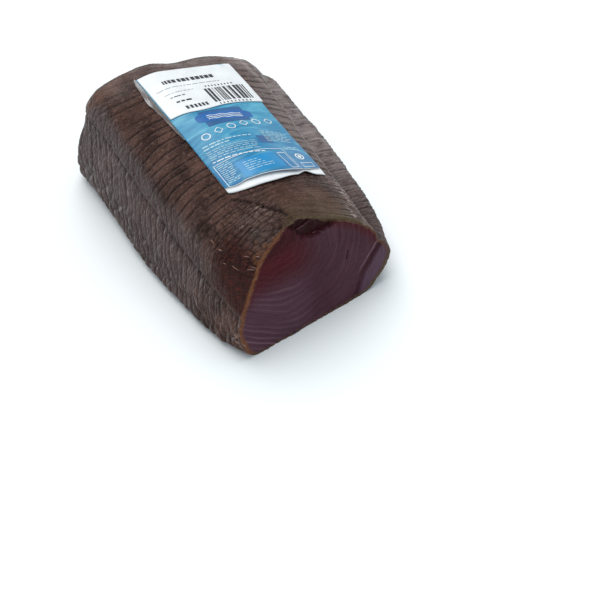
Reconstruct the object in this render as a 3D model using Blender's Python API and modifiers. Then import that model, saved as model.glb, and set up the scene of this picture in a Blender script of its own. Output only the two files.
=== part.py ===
"""A smoked tuna loin: one firm block, cut straight at the front and rounded at the back, marked all round
by the net it was smoked in, with a printed label card and a weight sticker on its upper face.

+Z is up, +Y runs along the loin from the cut face to the rounded end, and the origin is at the centre of
the box on the underside. Lengths are in millimetres until a mesh is made.
"""

import bpy
import numpy as np

MM = 0.001

# The loin in four cross-sections: (across, up) of each named point at the cut, a little behind it, in the
# middle, and near the rounded end.
SECTIONS = {
    "foot_left": ((-51, 0), (-60.5, 0), (-64.5, 0), (-59.5, 0)),
    "belly_left": ((-60.5, 10.5), (-67, 14), (-70, 17.5), (-66.5, 26)),
    "crease_left": ((-60, 29), (-62.5, 36.5), (-63.5, 47.5), (-61.5, 56.5)),
    "flank_left": ((-48, 50), (-57, 58), (-57.5, 70.5), (-59.5, 74.5)),
    "shoulder": ((-38.5, 66.5), (-44.5, 75.5), (-42, 85.5), (-48.5, 87.5)),
    "top_left": ((-26, 77.5), (-25.5, 86.5), (-20, 92.5), (-21, 93.5)),
    "top": ((-9.5, 83.5), (-3, 87.5), (1.5, 88), (2, 84)),
    "slope": ((13.5, 71.5), (19, 75), (24, 74), (28, 77)),
    "ridge_right": ((33, 58), (38, 57), (44.5, 57), (52.5, 59.5)),
    "crease_right": ((47.5, 36.5), (46, 37.5), (52, 38), (58.5, 42.5)),
    "lobe_right": ((52, 17), (59.5, 24.5), (70, 25.5), (71, 29.5)),
    "foot_right": ((30, 0), (46.5, 0), (52.5, 0), (53.5, 0)),
    "base": ((-8, 0), (-8, 0), (-8, 0), (-8, 0)),
}
SECTION_AT = (-94.5, -72.0, -4.5, 57.5)
FRONT, BACK = -94.5, 86.0
BOX_CENTRE = (0.055, 0.279)

# The cut face leans back as it rises.
CUT_LEAN, LEAN_REACH = 0.225, 43.0

# The rounded end: where it starts, how square its shoulder is, how the far side trails and the top recedes.
END_LENGTH, END_START_POWER, END_SIDE_POWER = 21.0, 3.8, 3.4
END_CORE = (-6.0, 43.5)
TRAIL_FROM, TRAIL_OVER = 14.5, 71.0
TRAIL_ACROSS, TRAIL_UP = 0.165, 0.12

# Relief: the cross grooves pressed in by the net, and the two creases that run along the loin.
NET_FIRST, NET_PITCH, NET_COUNT = -90.5, 6.0, 29
NET_DEPTH, NET_SHOULDER = 1.1, 1.6
CREASE_DEPTH = {"crease_left": 1.4, "crease_right": 1.8}
RELIEF_CLEAR_OF_FLOOR = 6.0

# The cut face: rings of muscle inside a rind, as (share of the section, set back into the loin).
CUT_RINGS = ((0.965, 0.8), (0.80, 0.5), (0.62, 0.9), (0.42, 0.5), (0.20, 0.9))
CUT_CORE = (-4.0, 38.0)

# How many facets each stretch between named points takes, in the order of SECTIONS.
FACETS = (3, 4, 5, 5, 5, 5, 5, 5, 5, 4, 4, 3, 2)
END_SHARES = (0.97, 0.91, 0.82, 0.69, 0.52, 0.32, 0.12)

# The label: corners (across, along) in the order front left, front right, back left, back right. It lies on
# the stretch of the section between these two places. The front edges of card and backing bow forward, the
# backing's most at its left, and both stand up a little in the middle.
SHEET_FROM_PLACE, SHEET_TO_PLACE = 3.3, 8.9
SHEET_GAP = 0.3
CARD_CORNERS = ((-32.6, -35.0), (33.2, -40.0), (-31.0, 65.0), (31.6, 56.5))
CARD_THICK, CARD_BOW, CARD_BOW_SKEW, CARD_LIFT = 0.5, 5.5, 1.0, 2.2
BACKING_CORNERS = ((-32.8, -38.2), (34.2, -45.2), (-30.6, 64.5), (31.2, 56.0))
BACKING_THICK, BACKING_BOW, BACKING_BOW_SKEW, BACKING_LIFT = 0.4, 6.5, 0.7, 0.8
STICKER_CORNERS = ((-31.0, 23.5), (33.0, 21.3), (-30.6, 64.5), (31.2, 56.0))
STICKER_THICK = 0.3
FILM_CORNERS = ((-34.2, 14.0), (-32.5, 14.0), (-36.0, 64.0), (-31.5, 64.5))
FILM_THICK = 0.3
FRONT_SHARE = 0.22


def clear_scene():
    for obj in list(bpy.data.objects):
        bpy.data.objects.remove(obj, do_unlink=True)


def ease(value):
    value = np.clip(value, 0.0, 1.0)
    return value * value * (3.0 - 2.0 * value)


def section_points(station):
    """The named points of the section at one station, joined smoothly along the loin."""
    table = np.array(list(SECTIONS.values()), float)
    k = int(np.clip(np.searchsorted(SECTION_AT, station, side="right") - 1, 0, len(SECTION_AT) - 2))
    start, end = SECTION_AT[k], SECTION_AT[k + 1]
    first, last = table[:, k], table[:, k + 1]
    slope_first = slope_last = (last - first) / (end - start)
    if k > 0:
        slope_first = (last - table[:, k - 1]) / (end - SECTION_AT[k - 1])
    if k + 2 < len(SECTION_AT):
        slope_last = (table[:, k + 2] - first) / (SECTION_AT[k + 2] - start)
    t = min(max((station - start) / (end - start), 0.0), 1.0)
    span = end - start
    return (
        (2 * t**3 - 3 * t**2 + 1) * first
        + (t**3 - 2 * t**2 + t) * span * slope_first
        + (3 * t**2 - 2 * t**3) * last
        + (t**3 - t**2) * span * slope_last
    )


def section_curve(station, places):
    """The closed section at one station, at the given places: 0 is the first named point, 1 the second."""
    points = section_points(station)
    index = np.floor(places).astype(int)
    t = (places - index)[:, None]
    before, here, after, later = (points[(index + k) % len(points)] for k in (-1, 0, 1, 2))
    return 0.5 * (
        2 * here
        + (after - before) * t
        + (2 * before - 5 * here + 4 * after - later) * t**2
        + (3 * here - before - 3 * after + later) * t**3
    )


def end_share(station):
    """How much of the section is left at this station of the rounded end."""
    part = np.clip((station - (BACK - END_LENGTH)) / END_LENGTH, 0.0, 1.0)
    return (1.0 - part**END_START_POWER) ** (1.0 / END_SIDE_POWER)


def along(station, flat):
    """Where the points of a section lie along the loin, with the lean of the cut and the trail of the end."""
    lean = CUT_LEAN * flat[:, 1] * np.clip(1.0 - (station - FRONT) / LEAN_REACH, 0.0, 1.0)
    trail = TRAIL_ACROSS * flat[:, 0] + TRAIL_UP * (flat[:, 1] - END_CORE[1])
    return station + lean - ease((station - TRAIL_FROM) / TRAIL_OVER) * trail


def groove(distance, half_width):
    return np.clip(1.0 - np.abs(distance) / half_width, 0.0, 1.0)


def relief(station, places, height):
    """How far the net and the creases sink the skin at each point of a section."""
    nearest = np.clip(round((station - NET_FIRST) / NET_PITCH), 0, NET_COUNT - 1)
    depth = NET_DEPTH * groove(station - NET_FIRST - nearest * NET_PITCH, NET_SHOULDER)
    depth = np.full(len(places), depth)
    for name, crease in CREASE_DEPTH.items():
        depth += crease * groove(places - list(SECTIONS).index(name), 0.2)
    return depth * ease(height / RELIEF_CLEAR_OF_FLOOR)


def ring(station, places, sunk=True):
    """One ring of the skin, as points in space."""
    flat = section_curve(station, places)
    if sunk:
        run = np.roll(flat, -1, axis=0) - np.roll(flat, 1, axis=0)
        outward = np.stack([-run[:, 1], run[:, 0]], -1) / np.linalg.norm(run, axis=1)[:, None]
        flat = flat - outward * relief(station, places, flat[:, 1])[:, None]
    flat = np.array(END_CORE) + (flat - END_CORE) * end_share(station)
    flat[:, 1] = np.maximum(flat[:, 1], 0.0)
    return np.stack([flat[:, 0], along(station, flat), flat[:, 1]], -1)


def skin_stations():
    """A ring at the bottom of each net groove and on both its shoulders, then the rounded end."""
    stations = [FRONT]
    for k in range(NET_COUNT):
        middle = NET_FIRST + k * NET_PITCH
        stations += [middle - NET_SHOULDER, middle, middle + NET_SHOULDER]
    for share in END_SHARES:
        part = (1.0 - share**END_SIDE_POWER) ** (1.0 / END_START_POWER)
        station = BACK - END_LENGTH + END_LENGTH * part
        if station > stations[-1] + 0.05:
            stations.append(station)
    return stations


def places_round():
    return np.concatenate([k + np.arange(count) / count for k, count in enumerate(FACETS)])


def cut_ring(rim, share, set_back):
    """A smaller ring on the cut face, set back into the loin."""
    core = np.array([CUT_CORE[0], FRONT + CUT_LEAN * CUT_CORE[1], CUT_CORE[1]])
    points = core + (rim - core) * share
    points[:, 1] += set_back
    return points


def loin_mesh():
    """Rings from the middle of the cut face, out to its rim and along the skin to the rounded end."""
    places = places_round()
    rim = ring(FRONT, places, sunk=False)
    rings = [cut_ring(rim, share, back) for share, back in reversed(CUT_RINGS)]
    rings.append(rim)
    rings += [ring(station, places) for station in skin_stations()[1:]]
    points = np.concatenate(rings)
    count, around = len(rings), len(places)
    faces = []
    for i in range(count - 1):
        for j in range(around):
            after = (j + 1) % around
            row, below = i * around, (i + 1) * around
            faces.append((row + j, row + after, below + after, below + j))
    ends = [rings[0].mean(axis=0), rings[-1].mean(axis=0)]
    points = np.vstack([points, ends])
    first, last = count * around, count * around + 1
    row = (count - 1) * around
    for j in range(around):
        after = (j + 1) % around
        faces.append((first, after, j))
        faces.append((row + j, row + after, last))
    return points, faces


def stretched(points):
    """The upper hull of a row of points: how a sheet pulled tight spans their hollows."""
    hull = []
    for point in points:
        while len(hull) > 1:
            last, step = hull[-1] - hull[-2], point - hull[-1]
            if last[0] * step[1] - last[1] * step[0] < 0.0:
                break
            hull.pop()
        hull.append(point)
    return np.array(hull)


def top_height(across, station):
    """Height of a sheet laid on the skin, between the left flank and the right crease."""
    places = np.linspace(SHEET_FROM_PLACE, SHEET_TO_PLACE, 60)
    points = section_curve(station, places)
    points = stretched(np.array(END_CORE) + (points - END_CORE) * end_share(station))
    return np.interp(across, points[:, 0], points[:, 1])


def skin_point(across, along_loin):
    """A point of a sheet laid on the upper skin, over a place in plan."""
    station = along_loin
    for _ in range(4):
        height = top_height(across, station)
        station += along_loin - along(station, np.array([[across, height]]))[0]
    return np.array([across, along_loin, top_height(across, station)])


def sheet_points(corners, columns, rows, gap, bow=0.0, bow_skew=1.0, lift=0.0):
    """A grid that follows the skin at a gap, with its front edge bowed forward and lifted in the middle."""
    front_left, front_right, back_left, back_right = (np.array(c, float) for c in corners)
    points = []
    for v in np.linspace(0.0, 1.0, rows + 1):
        front = max(0.0, 1.0 - v / FRONT_SHARE)
        for u in np.linspace(0.0, 1.0, columns + 1):
            across, length = (front_left * (1 - u) + front_right * u) * (1 - v) + (
                back_left * (1 - u) + back_right * u
            ) * v
            length -= bow * np.sin(np.pi * u**bow_skew) * front
            here = skin_point(across, length)
            beside = skin_point(across + 1.0, length) - here
            beyond = skin_point(across, length + 1.0) - here
            outward = np.cross(beside, beyond)
            outward /= np.linalg.norm(outward)
            stand = lift * (np.sin(np.pi * u) * front) ** 2
            points.append(here + outward * (gap + stand))
    return np.array(points)


def sheet_mesh(corners, columns, rows, gap, bow=0.0, bow_skew=1.0, lift=0.0):
    points = sheet_points(corners, columns, rows, gap, bow, bow_skew, lift)
    wide = columns + 1
    faces = []
    for v in range(rows):
        for u in range(columns):
            here = v * wide + u
            faces.append((here, here + 1, here + wide + 1, here + wide))
    return points, faces


def make_material(name, colour, roughness):
    material = bpy.data.materials.new(name)
    material.use_nodes = True
    shader = material.node_tree.nodes["Principled BSDF"]
    shader.inputs["Base Color"].default_value = (*colour, 1.0)
    shader.inputs["Roughness"].default_value = roughness
    return material


def make_node(name, mesh_data, material, collection, thickness=0.0):
    """A mesh object in metres. A sheet gets its thickness on the outer side."""
    points, faces = mesh_data
    points = (points - np.array([*BOX_CENTRE, 0.0])) * MM
    mesh = bpy.data.meshes.new(name)
    mesh.from_pydata([tuple(point) for point in points], [], faces)
    mesh.update()
    mesh.materials.append(material)
    obj = bpy.data.objects.new(name, mesh)
    collection.objects.link(obj)
    if thickness:
        solid = obj.modifiers.new("Thickness", "SOLIDIFY")
        solid.thickness = thickness * MM
        solid.offset = 1.0
    return obj


def main():
    clear_scene()
    collection = bpy.data.collections.new("smoked_tuna")
    bpy.context.scene.collection.children.link(collection)
    meat = make_material("meat", (0.075, 0.042, 0.034), 0.45)
    paper = make_material("print", (0.12, 0.42, 0.66), 0.4)
    white = make_material("white", (0.85, 0.86, 0.87), 0.5)
    clear = make_material("clear", (0.45, 0.43, 0.42), 0.15)

    backing_gap = SHEET_GAP
    card_gap = backing_gap + BACKING_THICK + SHEET_GAP
    sticker_gap = card_gap + CARD_THICK + SHEET_GAP
    backing = sheet_mesh(BACKING_CORNERS, 12, 16, backing_gap, BACKING_BOW, BACKING_BOW_SKEW, BACKING_LIFT)
    card = sheet_mesh(CARD_CORNERS, 12, 16, card_gap, CARD_BOW, CARD_BOW_SKEW, CARD_LIFT)
    sticker = sheet_mesh(STICKER_CORNERS, 10, 6, sticker_gap)
    film = sheet_mesh(FILM_CORNERS, 1, 8, card_gap)
    make_node("loin", loin_mesh(), meat, collection)
    make_node("label_backing", backing, white, collection, BACKING_THICK)
    make_node("label_card", card, paper, collection, CARD_THICK)
    make_node("weight_sticker", sticker, white, collection, STICKER_THICK)
    make_node("label_film", film, clear, collection, FILM_THICK)


main()
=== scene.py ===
"""The looks of a smoked tuna loin: net-marked skin, cut flesh, and the label on top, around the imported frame."""

import bpy
import numpy as np
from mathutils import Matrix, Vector


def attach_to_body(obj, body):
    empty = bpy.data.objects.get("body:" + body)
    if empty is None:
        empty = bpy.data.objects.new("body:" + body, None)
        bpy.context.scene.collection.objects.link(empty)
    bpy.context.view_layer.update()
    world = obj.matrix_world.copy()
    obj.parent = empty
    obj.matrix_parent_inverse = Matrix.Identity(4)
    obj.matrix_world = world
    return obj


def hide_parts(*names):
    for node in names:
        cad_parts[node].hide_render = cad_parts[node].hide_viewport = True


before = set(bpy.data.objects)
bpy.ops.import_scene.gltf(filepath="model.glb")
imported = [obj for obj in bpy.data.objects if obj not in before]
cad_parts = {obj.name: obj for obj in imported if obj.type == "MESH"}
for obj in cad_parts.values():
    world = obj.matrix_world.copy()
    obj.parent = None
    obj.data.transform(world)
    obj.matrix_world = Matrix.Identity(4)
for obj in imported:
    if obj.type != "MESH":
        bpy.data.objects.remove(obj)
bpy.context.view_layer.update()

MM = 0.001

# The loin's sections in millimetres: (across, up) of each named point at the cut, a little behind it, in the
# middle, and near the rounded end. A place is a point's number in this order, with a share of the way on.
SECTIONS = {
    "foot_left": ((-51, 0), (-60.5, 0), (-64.5, 0), (-59.5, 0)),
    "belly_left": ((-60.5, 10.5), (-67, 14), (-70, 17.5), (-66.5, 26)),
    "crease_left": ((-60, 29), (-62.5, 36.5), (-63.5, 47.5), (-61.5, 56.5)),
    "flank_left": ((-48, 50), (-57, 58), (-57.5, 70.5), (-59.5, 74.5)),
    "shoulder": ((-38.5, 66.5), (-44.5, 75.5), (-42, 85.5), (-48.5, 87.5)),
    "top_left": ((-26, 77.5), (-25.5, 86.5), (-20, 92.5), (-21, 93.5)),
    "top": ((-9.5, 83.5), (-3, 87.5), (1.5, 88), (2, 84)),
    "slope": ((13.5, 71.5), (19, 75), (24, 74), (28, 77)),
    "ridge_right": ((33, 58), (38, 57), (44.5, 57), (52.5, 59.5)),
    "crease_right": ((47.5, 36.5), (46, 37.5), (52, 38), (58.5, 42.5)),
    "lobe_right": ((52, 17), (59.5, 24.5), (70, 25.5), (71, 29.5)),
    "foot_right": ((30, 0), (46.5, 0), (52.5, 0), (53.5, 0)),
    "base": ((-8, 0), (-8, 0), (-8, 0), (-8, 0)),
}
SECTION_AT = (-94.5, -72.0, -4.5, 57.5)
FRONT, BACK = -94.5, 86.0
BOX_CENTRE = np.array((0.055, 0.279, 0.0))
CUT_LEAN, LEAN_REACH = 0.225, 43.0
END_LENGTH, END_START_POWER, END_SIDE_POWER = 21.0, 3.8, 3.4
END_CORE = np.array((-6.0, 43.5))
TRAIL_FROM, TRAIL_OVER = 14.5, 71.0
TRAIL_ACROSS, TRAIL_UP = 0.165, 0.12

# The skin's mesh: points on each stretch between named places, and the spacing of its rings, which crowd at the
# rim of the cut. It is made in two pieces that meet in the right crease and at the left foot.
POINTS_ROUND = (17, 27, 24, 21, 22, 20, 25, 25, 19, 24, 22, 10, 10)
SEAM_PLACE, FOOT_RIGHT_PLACE = 9, 11
RIM_RINGS = (0.0, 0.08, 0.2, 0.4, 0.65, 0.95)
EVEN_FROM, EVEN_TO = FRONT + 1.3, BACK - 0.4 * END_LENGTH
RING_STEP, END_RINGS = 0.39, 38
RIM_ROUND, RIM_RAGGED = 1.1, 0.45

# The net's marks, with their slant on the upper left, and how high above the floor the relief is whole.
NET_FIRST, NET_PITCH, NET_HALF_WIDTH, NET_SLANT = -90.5, 6.0, 1.25, 0.22
RELIEF_CLEAR_OF_FLOOR = 5.0

# How strongly each mark shows in each zone of the skin: its depth in millimetres, and how dark it is, as painted
# shade in its furrows and gaps.
MARKS = (
    ("rough", "net", 0.75, 1.15),
    ("rough_front", "net", -0.2625, -0.345),
    ("rough", "crackle", 0.18, 0.30),
    ("rough_front", "crackle", 0.55, 0.60),
    ("rough", "wrinkles", 0.14, 0.18),
    ("smooth_upper", "net", 0.22, 0.30),
    ("smooth_upper", "fine_net", 0.16, 0.25),
    ("ridge", "fine_net", 0.4, 0.3),
    ("strip", "net", 0.7, 0.9),
    ("foot_lower", "lobes", 1.10, 0.0),
    ("foot_front", "lobes", 0.7, 0.0),
    ("foot_lower", "lobe_lines", 0.0, 0.75),
    ("belly", "ribs", 0.65, 0.55),
    ("lower", "hatch", 0.10, 0.0),
    ("lower", "cross_hatch", 0.30, 0.25),
    ("lower", "lengthwise", 0.15, 0.0),
    ("side", "ribs", 0.34, 0.40),
    ("side", "hatch", 0.16, 0.10),
    ("side", "cross_hatch", 0.25, 0.25),
    ("side", "lengthwise", 0.34, 0.0),
    ("lobe", "net", 0.60, 0.60),
    ("lobe", "fine_net", 0.45, 0.45),
    ("lobe", "lengthwise", 0.35, 0.40),
)

# Where the finely lined side, grey mostly with painted sheen, starts and ends, as places at these stations along the
# loin.
SIDE_AT = (-94.0, -26.0, -5.0, 15.0, 59.0)
SIDE_FROM = (2.02, 2.05, 2.08, 2.15, 2.38)
SIDE_TO = (3.10, 2.94, 2.62, 2.88, 3.44)

# The sharp crest of the ridge beside the label, as places at these stations.
CREST_AT = (-94.0, -66.0, -40.0, -10.0, 15.0, 42.0, 60.0)
CREST_PLACE = (8.55, 8.25, 8.15, 8.20, 8.25, 7.95, 7.65)

# A fold in the upper skin from the label's front edge to the top left of the cut, as (across, along), and
# where along the loin it gapes most.
FOLD = ((-31.0, -46.0), (-25.0, -54.0), (-19.5, -62.0), (-14.5, -68.0), (-11.0, -76.5))
FOLD_GAPES_AT, FOLD_GAPE_REACH = -64.5, 11.0

# How far the amber edge reaches in from the cut, in millimetres at these places.
AMBER_AT = (1.0, 2.5, 3.6, 4.2, 4.7, 5.3)
AMBER_REACH = (2.0, 1.0, 1.5, 9.0, 7.0, 1.0)

# Pale dry strands that lie on the skin near the cut, each as the station and place of its two ends.
STRANDS = (
    (-58.5, 3.35, -64.0, 3.45),
    (-69.5, 3.20, -73.0, 3.25),
    (-77.5, 3.35, -83.0, 3.35),
    (-82.0, 3.80, -86.0, 3.90),
    (-88.0, 3.65, -93.5, 3.75),
    (-87.5, 3.50, -92.5, 3.65),
    (-89.0, 4.05, -92.5, 4.15),
    (-83.0, 2.75, -87.0, 2.80),
    (-76.5, 2.70, -79.0, 2.70),
    (-49.5, 3.35, -54.0, 3.35),
)

# The camera, as it stood in the photograph.
CAMERA_AZIMUTH, CAMERA_ELEVATION, CAMERA_DISTANCE = -35.6, 53.0, 1.615
CAMERA_TARGET = Vector((-0.00634, -0.0756, 0.0))
CAMERA_LENS = 154.5

# The pale sky, the wide soft light from behind the loin, and the floor.
SKY_COLOUR, SKY_STRENGTH = (0.865, 0.945, 1.0, 1.0), 0.62
LIGHT_STRENGTH, LIGHT_SPREAD = 2.4, 50.0
LIGHT_COLOUR, LIGHT_FROM = (1.0, 0.985, 0.96), Vector((0.08, 0.42, 0.90))
FLOOR_REACH, FLOOR_COLOUR = 6.0, (0.87, 0.90, 0.915, 1.0)


def ease(value):
    value = np.clip(value, 0.0, 1.0)
    return value * value * (3.0 - 2.0 * value)


def bump(value, centre, half_width):
    """1 at the centre, falling smoothly to 0 at half_width from it."""
    return ease(1.0 - np.abs(value - centre) / half_width)


def smooth_noise(a, b, seed):
    """Noise between -1 and 1 that changes over about one unit of a and b."""
    lattice = np.random.default_rng(seed).uniform(-1.0, 1.0, (64, 64))
    ia, ib = np.floor(a).astype(int), np.floor(b).astype(int)
    ta, tb = ease(a - ia), ease(b - ib)
    corners = [lattice[(ia + i) % 64, (ib + j) % 64] for i in (0, 1) for j in (0, 1)]
    low = corners[0] * (1 - tb) + corners[1] * tb
    high = corners[2] * (1 - tb) + corners[3] * tb
    return low * (1 - ta) + high * ta


def cells(a, b, seed, jitter=0.36):
    """Uneven cells one unit across: 0 on their borders rising to 1 inside, and a tone from 0 to 1 for each."""
    rng = np.random.default_rng(seed)
    shifts, tones = rng.uniform(-jitter, jitter, (64, 64, 2)), rng.uniform(0.0, 1.0, (64, 64))
    ia, ib = np.floor(a).astype(int), np.floor(b).astype(int)
    nearest, second, tone = np.full(a.shape, 9.0), np.full(a.shape, 9.0), np.zeros(a.shape)
    for i in (-1, 0, 1):
        for j in (-1, 0, 1):
            row, column = (ia + i) % 64, (ib + j) % 64
            shift = shifts[row, column]
            distance = np.hypot(ia + i + 0.5 + shift[..., 0] - a, ib + j + 0.5 + shift[..., 1] - b)
            closer = distance < nearest
            second = np.where(closer, nearest, np.minimum(second, distance))
            tone = np.where(closer, tones[row, column], tone)
            nearest = np.minimum(nearest, distance)
    return np.clip((second - nearest) / 0.5, 0.0, 1.0), tone


def furrows(coordinate, run, pitch, half_width, wobble, seed, keep, sharp=True):
    """Depth 0 to 1 of a family of furrows: one every pitch of the coordinate, each wandering along the run."""
    wandered = coordinate + wobble * smooth_noise(coordinate / pitch * 0.5, run / 14.0, seed)
    index = np.round(wandered / pitch)
    shift = smooth_noise(index * 1.7, np.zeros_like(index), seed + 1) * 0.18 * pitch
    off = np.clip(1.0 - np.abs(wandered - index * pitch - shift) / half_width, 0.0, 1.0)
    depth = off**1.4 if sharp else ease(off)
    strength = 0.55 * smooth_noise(index * 1.3 + 9.0, run / 8.0, seed + 2) + keep
    return depth * np.clip(strength, 0.0, 1.0)


def section_points(station):
    table = np.array(list(SECTIONS.values()), float)
    k = int(np.clip(np.searchsorted(SECTION_AT, station, side="right") - 1, 0, len(SECTION_AT) - 2))
    start, end = SECTION_AT[k], SECTION_AT[k + 1]
    first, last = table[:, k], table[:, k + 1]
    slope_first = slope_last = (last - first) / (end - start)
    if k > 0:
        slope_first = (last - table[:, k - 1]) / (end - SECTION_AT[k - 1])
    if k + 2 < len(SECTION_AT):
        slope_last = (table[:, k + 2] - first) / (SECTION_AT[k + 2] - start)
    t = min(max((station - start) / (end - start), 0.0), 1.0)
    span = end - start
    return (
        (2 * t**3 - 3 * t**2 + 1) * first
        + (t**3 - 2 * t**2 + t) * span * slope_first
        + (3 * t**2 - 2 * t**3) * last
        + (t**3 - t**2) * span * slope_last
    )


def section_curve(station, places):
    """The closed section at one station, at the given places."""
    points = section_points(station)
    index = np.floor(places).astype(int)
    t = (places - index)[:, None]
    before, here, after, later = (points[(index + k) % len(points)] for k in (-1, 0, 1, 2))
    return 0.5 * (
        2 * here
        + (after - before) * t
        + (2 * before - 5 * here + 4 * after - later) * t**2
        + (3 * here - before - 3 * after + later) * t**3
    )


def end_share(station):
    """How much of the section is left at this station of the rounded end."""
    part = np.clip((station - (BACK - END_LENGTH)) / END_LENGTH, 0.0, 1.0)
    return (1.0 - part**END_START_POWER) ** (1.0 / END_SIDE_POWER)


def along(station, across, up):
    """Where a point of a section lies along the loin, with the lean of the cut and the trail of the end."""
    lean = CUT_LEAN * up * np.clip(1.0 - (station - FRONT) / LEAN_REACH, 0.0, 1.0)
    trail = TRAIL_ACROSS * across + TRAIL_UP * (up - END_CORE[1])
    return station + lean - ease((station - TRAIL_FROM) / TRAIL_OVER) * trail


def make_object(name, points, faces, material, attributes=None):
    """A smooth mesh from points in millimetres, with one float attribute for each named array."""
    mesh = bpy.data.meshes.new(name)
    points = (np.asarray(points) - BOX_CENTRE) * MM
    mesh.from_pydata(points.tolist(), [], [tuple(face) for face in faces])
    for key, values in (attributes or {}).items():
        layer = mesh.attributes.new(key, "FLOAT", "POINT")
        layer.data.foreach_set("value", np.asarray(values, np.float32).ravel())
    mesh.shade_smooth()
    mesh.materials.append(material)
    obj = bpy.data.objects.new(name, mesh)
    bpy.context.scene.collection.objects.link(obj)
    return obj


def grid_faces(rows, columns):
    """Quads of a grid of points kept row after row."""
    row, column = np.meshgrid(np.arange(rows - 1), np.arange(columns - 1), indexing="ij")
    here = row * columns + column
    quads = np.stack([here, here + 1, here + columns + 1, here + columns], -1)
    return quads.reshape(-1, 4).tolist()


def node(tree, kind, inputs=None, **settings):
    """Adds a shader node, with its settings, and its inputs as values or links."""
    made = tree.nodes.new(kind)
    for name, value in settings.items():
        setattr(made, name, value)
    for key, value in (inputs or {}).items():
        if isinstance(value, bpy.types.NodeSocket):
            tree.links.new(value, made.inputs[key])
        else:
            made.inputs[key].default_value = value
    return made


def attribute(tree, name):
    return node(tree, "ShaderNodeAttribute", attribute_name=name).outputs["Fac"]


def math(tree, operation, first, second=0.0, third=0.0):
    return node(tree, "ShaderNodeMath", {0: first, 1: second, 2: third}, operation=operation).outputs[0]


def times(tree, first, second):
    """A product kept between 0 and 1."""
    return node(tree, "ShaderNodeMath", {0: first, 1: second}, operation="MULTIPLY", use_clamp=True).outputs[0]


def mixed(tree, factor, first, second):
    """Colour mixed from two colours or sockets."""
    first, second = ((*c, 1.0) if isinstance(c, tuple) else c for c in (first, second))
    return node(tree, "ShaderNodeMix", {0: factor, 6: first, 7: second}, data_type="RGBA").outputs[2]


def noise(tree, scale, detail=4.0, stretch=(1.0, 1.0, 1.0), distortion=0.0):
    """Noise over the object's own coordinates, which can be drawn out along an axis."""
    coordinates = node(tree, "ShaderNodeTexCoord").outputs["Object"]
    mapping = node(tree, "ShaderNodeMapping", {"Vector": coordinates, "Scale": stretch})
    texture = node(
        tree,
        "ShaderNodeTexNoise",
        {"Vector": mapping.outputs[0], "Scale": scale, "Detail": detail, "Distortion": distortion},
    )
    return texture.outputs["Fac"]


def chart_noise(tree, first, second, first_size, second_size, slant=0.0, detail=3.0):
    """Noise over two lengths stored on the mesh in millimetres, and over plain space on the rounded end."""
    one, two = attribute(tree, first), attribute(tree, second)
    slanted = math(tree, "MULTIPLY_ADD", two, slant, one)
    chart = node(tree, "ShaderNodeCombineXYZ", {0: slanted, 1: two}).outputs[0]
    coordinates = node(tree, "ShaderNodeTexCoord").outputs["Object"]
    plain = node(tree, "ShaderNodeMapping", {"Vector": coordinates, "Scale": (1000.0, 1000.0, 1000.0)}).outputs[0]
    end = attribute(tree, "end")
    vector = node(tree, "ShaderNodeMix", {0: end, 4: chart, 5: plain}, data_type="VECTOR").outputs[1]
    scale = (1.0 / first_size, 1.0 / second_size, 1.0)
    mapping = node(tree, "ShaderNodeMapping", {"Vector": vector, "Scale": scale})
    texture = node(tree, "ShaderNodeTexNoise", {"Vector": mapping.outputs[0], "Scale": 1.0, "Detail": detail})
    return texture.outputs["Fac"]


def spread(tree, value, low, high, to_low=0.0, to_high=1.0):
    """The value's range from low to high stretched onto another range."""
    made = node(tree, "ShaderNodeMapRange", {0: value, 1: low, 2: high, 3: to_low, 4: to_high})
    return made.outputs[0]


def new_material(name, roughness, specular=0.5):
    material = bpy.data.materials.new(name)
    material.use_nodes = True
    tree = material.node_tree
    shader = tree.nodes["Principled BSDF"]
    shader.inputs["Roughness"].default_value = roughness
    shader.inputs["Specular IOR Level"].default_value = specular
    return material, tree, shader


def set_bump(tree, shader, height, strength, distance):
    made = node(tree, "ShaderNodeBump", {"Height": height, "Strength": strength, "Distance": distance})
    tree.links.new(made.outputs[0], shader.inputs["Normal"])


SKIN_DARK, SKIN_LIGHT = (0.033, 0.0128, 0.0090), (0.150, 0.074, 0.056)
# Warm flecks, and a pale colour for pale specks and painted glints.
SKIN_WARM, SKIN_PALE = (0.220, 0.122, 0.095), (0.50, 0.40, 0.37)
# A grey colour with streaks: mostly a painted sheen of the pale surroundings on the side.
SKIN_GREY, SKIN_STREAK = (0.098, 0.071, 0.069), (0.30, 0.25, 0.245)
# A painted shade colour for the furrows, and a painted highlight colour for relief edges, ridges and the far lobe.
SKIN_GROOVE, SKIN_HIGHLIGHT = (0.012, 0.0045, 0.0034), (0.42, 0.37, 0.36)
SKIN_RED, SKIN_FIBRE, SKIN_AMBER = (0.036, 0.0026, 0.0014), (0.125, 0.018, 0.007), (0.245, 0.092, 0.034)
SKIN_OLIVE = (0.125, 0.088, 0.044)


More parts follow.
